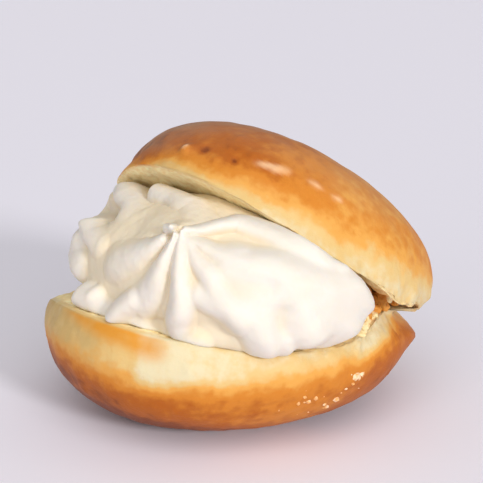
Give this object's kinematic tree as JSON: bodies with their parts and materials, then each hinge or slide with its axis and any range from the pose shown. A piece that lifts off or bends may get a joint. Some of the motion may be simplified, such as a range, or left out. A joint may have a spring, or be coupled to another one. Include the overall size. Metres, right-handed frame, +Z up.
{
  "type": "split bun filled with piped whipped cream",
  "caption": "Soft round fried bun, slit and folded open like a clam, its mouth filled with a large star-piped swirl of whipped cream.",
  "frame": {"origin": "centre of the bounding box on the surface that the bun rests on", "axes": "+Z up; the mouth with the cream faces -Y; the uncut fold runs along X at the back, +Y"},
  "size_m": [0.0986, 0.101, 0.0781],
  "materials": {
    "bun": "soft golden-brown crust with a slight sheen, pale band at the cut and open pale crumb",
    "cream": "satin whipped cream, ivory white"
  },
  "bodies": {
    "root": {"bun": "bun", "cream": "cream"}
  },
  "joints": []
}
